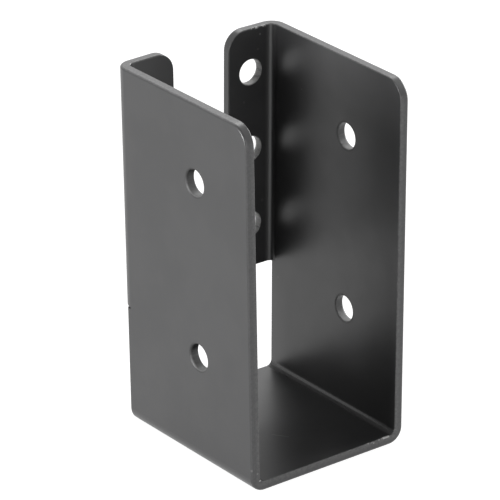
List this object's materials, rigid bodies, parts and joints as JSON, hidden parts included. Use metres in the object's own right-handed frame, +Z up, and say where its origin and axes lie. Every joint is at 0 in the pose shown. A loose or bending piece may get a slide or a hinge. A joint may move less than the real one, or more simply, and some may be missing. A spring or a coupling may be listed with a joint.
{
  "type": "concealed joist hanger",
  "caption": "Black U-shaped shoe folded from steel sheet, with screw flanges turned inwards so that the end of the timber joist it carries hides them.",
  "frame": {"origin": "centre of the outline seen from above, at the underside of the seat", "axes": "+Z up along the sides, +Y towards the carrying beam, out of the back faces of the flanges, +X to the joist's right side seen from the open front"},
  "size_m": [0.0462, 0.0492, 0.0901],
  "materials": {
    "coated_steel": "satin black powder coat, smooth, bare or thin in specks along a few cut edges"
  },
  "bodies": {
    "root": {"hanger": "coated_steel"}
  },
  "joints": []
}
